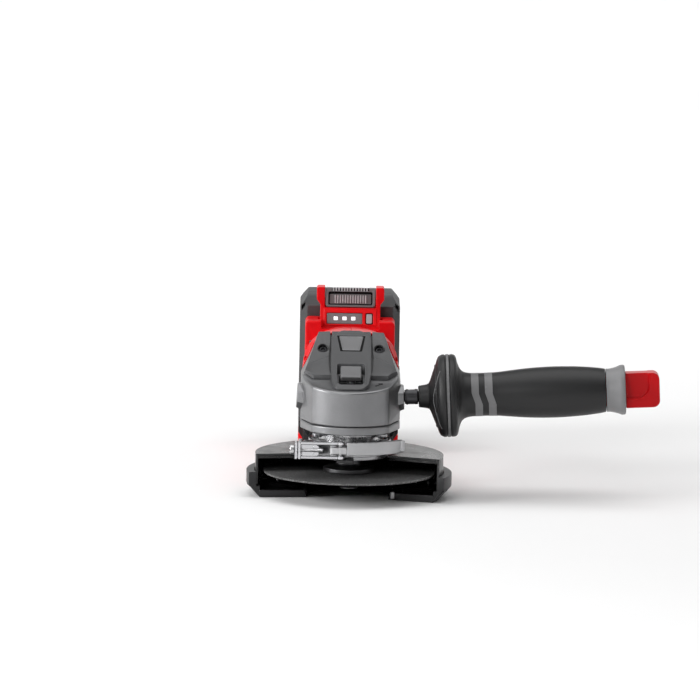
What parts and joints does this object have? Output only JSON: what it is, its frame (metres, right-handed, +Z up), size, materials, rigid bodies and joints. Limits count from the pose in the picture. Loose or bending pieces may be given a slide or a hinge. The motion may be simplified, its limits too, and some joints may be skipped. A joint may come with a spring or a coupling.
{
  "type": "angle grinder",
  "caption": "Cordless angle grinder with a wheel guard, clip-on cutting cover, slide-on battery pack and screw-in side handle.",
  "frame": {"origin": "centre of the output spindle's free end face, on the spindle axis", "axes": "+Z up along the spindle axis, away from the wheel; +Y from the gear head to the battery pack; +X towards the screwed-in side handle"},
  "size_m": [0.3009, 0.3465, 0.1246],
  "materials": {
    "cast_metal": "satin graphite paint on cast metal",
    "steel": "ground steel",
    "dark_steel": "blackened steel",
    "chrome": "polished plating",
    "zinc_steel": "zinc-plated pressed steel",
    "black_paint": "black powder coat",
    "abrasive": "bonded abrasive grit",
    "black_plastic": "fine moulded grain",
    "grey_plastic": "fine moulded grain",
    "light_grey_plastic": "fine moulded grain",
    "red_plastic": "satin gloss moulding",
    "rubber": "soft overmould",
    "board": "circuit board lacquer",
    "winding": "enamelled copper wire",
    "window": "smoked clear window",
    "cell_wrap": "shrink-wrapped steel can",
    "badge": "plated badge"
  },
  "bodies": {
    "machine": {"gear_housing": "cast_metal", "bearing_flange": "cast_metal", "flange_screw_1": "steel", "flange_screw_2": "steel", "flange_screw_3": "steel", "flange_screw_4": "steel", "spindle_bearing": "steel", "spindle_needle_bearing": "steel", "head_cover": "black_plastic", "head_cover_screw_left": "dark_steel", "head_cover_screw_right": "dark_steel", "badge_plate": "badge", "lock_spring": "steel", "motor_front_bearing": "steel", "bearing_retainer": "steel", "stator_core": "dark_steel", "stator_windings": "winding", "motor_rear_bearing": "steel", "housing_left": "red_plastic", "housing_right": "red_plastic", "soft_grip_left": "rubber", "soft_grip_right": "rubber", "controller_board": "board", "switch_module": "black_plastic", "terminal_block": "black_plastic"},
    "output_spindle": {"spindle": "steel", "bevel_gear": "steel", "inner_flange": "chrome", "cutting_wheel": "abrasive", "clamping_nut": "dark_steel"},
    "rotor": {"rotor_shaft": "steel", "bevel_pinion": "steel", "cooling_fan": "black_plastic", "rotor_magnet": "dark_steel"},
    "lock": {"lock_button": "grey_plastic", "lock_pin": "steel"},
    "power_switch": {"switch_slider": "black_plastic"},
    "battery": {"battery_front_case": "black_plastic", "battery_rear_case": "black_plastic", "battery_rail_shell": "red_plastic", "charge_display": "window", "battery_cell_1": "cell_wrap", "battery_cell_2": "cell_wrap", "battery_cell_3": "cell_wrap", "battery_cell_4": "cell_wrap", "battery_cell_5": "cell_wrap"},
    "latch": {"battery_latch": "light_grey_plastic"},
    "charge_check": {"charge_button": "light_grey_plastic"},
    "guard": {"wheel_guard": "black_paint", "clamp_band": "zinc_steel"},
    "guard_lever": {"clamp_lever": "zinc_steel"},
    "guard_link": {"clamp_link": "chrome", "adjusting_screw": "steel"},
    "cover": {"cutting_cover": "black_plastic"},
    "handle_bolt": {"handle_stud": "steel"},
    "side_handle": {"handle_grip": "rubber", "handle_end_collar": "light_grey_plastic"},
    "stowed_key": {"key_grip": "red_plastic", "hex_key": "dark_steel"}
  },
  "joints": [
    {"name": "spindle_spin", "type": "hinge", "parent": "machine", "child": "output_spindle", "pos_m": [0, 0, 0.0125], "axis": [0, 0, 1], "continuous": true},
    {"name": "motor_spin", "type": "hinge", "parent": "machine", "child": "rotor", "pos_m": [0, 0.06, 0.0705], "axis": [0, 1, 0], "continuous": true},
    {"name": "spindle_lock_press", "type": "slide", "parent": "machine", "child": "lock", "axis": [0, 0, -1], "range_m": [0, 0.003], "stiffness_N_per_m": 600, "springref_m": -0.003, "deforming": ["lock_spring"]},
    {"name": "power_switch_slide", "type": "slide", "parent": "machine", "child": "power_switch", "axis": [0, -1, 0], "range_m": [0, 0.008]},
    {"name": "battery_slide", "type": "slide", "parent": "machine", "child": "battery", "axis": [0, 0, 1], "range_m": [0, 0.11]},
    {"name": "battery_latch_press", "type": "slide", "parent": "battery", "child": "latch", "axis": [0, 1, 0], "range_m": [0, 0.0035], "stiffness_N_per_m": 600, "springref_m": -0.003},
    {"name": "charge_button_press", "type": "slide", "parent": "battery", "child": "charge_check", "axis": [0, 1, 0], "range_m": [0, 0.0008], "stiffness_N_per_m": 900, "springref_m": -0.001},
    {"name": "guard_turn", "type": "hinge", "parent": "machine", "child": "guard", "pos_m": [0, 0, 0.0325], "axis": [0, 0, 1], "range_deg": [-85, 100]},
    {"name": "clamp_lever_swing", "type": "hinge", "parent": "guard", "child": "guard_lever", "pos_m": [-0.012, -0.036, 0.0337], "axis": [0, 0, -1], "range_deg": [0, 110]},
    {"name": "clamp_link_swing", "type": "hinge", "parent": "guard_lever", "child": "guard_link", "pos_m": [-0.007, -0.0365, 0.0337], "axis": [0, 0, 1], "range_deg": [0, 110]},
    {"name": "cutting_cover_clip", "type": "slide", "parent": "guard", "child": "cover", "axis": [0, 0, -1], "range_m": [0, 0.028]},
    {"name": "handle_advance", "type": "slide", "parent": "machine", "child": "handle_bolt", "axis": [0.9986, 0, 0.0523], "range_m": [0, 0.01251]},
    {"name": "handle_turn", "type": "hinge", "parent": "handle_bolt", "child": "side_handle", "pos_m": [0.03915, 0.006, 0.0675], "axis": [0.9986, 0, 0.0523], "range_deg": [0, 3600]},
    {"name": "key_pull", "type": "slide", "parent": "side_handle", "child": "stowed_key", "axis": [0.9986, 0, 0.0523], "range_m": [0, 0.08]}
  ],
  "couplings": [
    {"joint": "motor_spin", "follows": "spindle_spin", "ratio": 3.0833},
    {"joint": "clamp_link_swing", "follows": "clamp_lever_swing", "ratio": 1},
    {"joint": "handle_advance", "follows": "handle_turn", "m_per_rad": 0.00019894}
  ]
}
